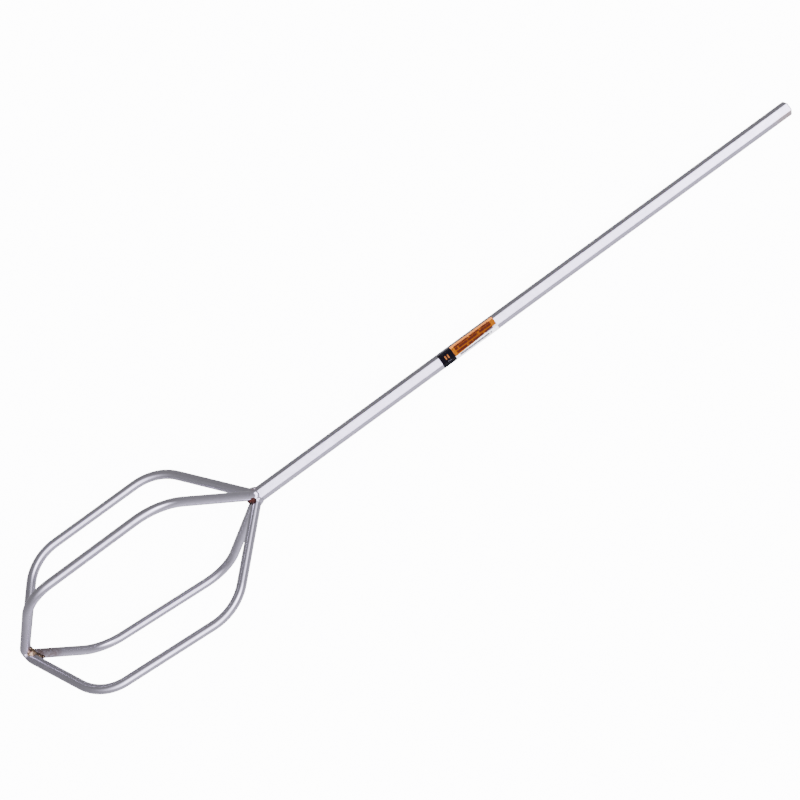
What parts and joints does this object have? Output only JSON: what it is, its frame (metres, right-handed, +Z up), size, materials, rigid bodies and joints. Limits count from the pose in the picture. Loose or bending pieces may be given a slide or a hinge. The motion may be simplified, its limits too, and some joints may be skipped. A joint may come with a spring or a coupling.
{
  "type": "mortar mixing paddle",
  "caption": "Hexagonal drive shaft with a tapered cage of bent round rods welded to its end, for stirring mortar with a drill.",
  "frame": {"origin": "middle of the tool's outline seen from above, on the flat surface that it lies on", "axes": "+Z up from that surface, +X level along the tool from the cage's tip to the shank end, +Y to the side of the upper half loop"},
  "size_m": [0.7504, 0.114, 0.1172],
  "materials": {
    "zinc_bar": "bright zinc plate on drawn hexagonal bar",
    "zinc_rod": "satin zinc plate on round rod",
    "plated_weld": "rippled weld metal under zinc plate",
    "rusty_weld": "dark brown rust and weld scale",
    "tinted_weld": "straw and brown heat tint on weld metal",
    "label_film": "printed self-adhesive film, orange, black and white"
  },
  "bodies": {
    "root": {"hex_shaft": "zinc_bar", "loop_rod": "zinc_rod", "half_loop_rod_1": "zinc_rod", "half_loop_rod_2": "zinc_rod", "root_weld": "rusty_weld", "hub_weld_1": "plated_weld", "hub_weld_2": "plated_weld", "hub_weld_3": "plated_weld", "hub_weld_4": "plated_weld", "tip_weld_1": "tinted_weld", "tip_weld_2": "plated_weld", "product_label": "label_film"}
  },
  "joints": []
}
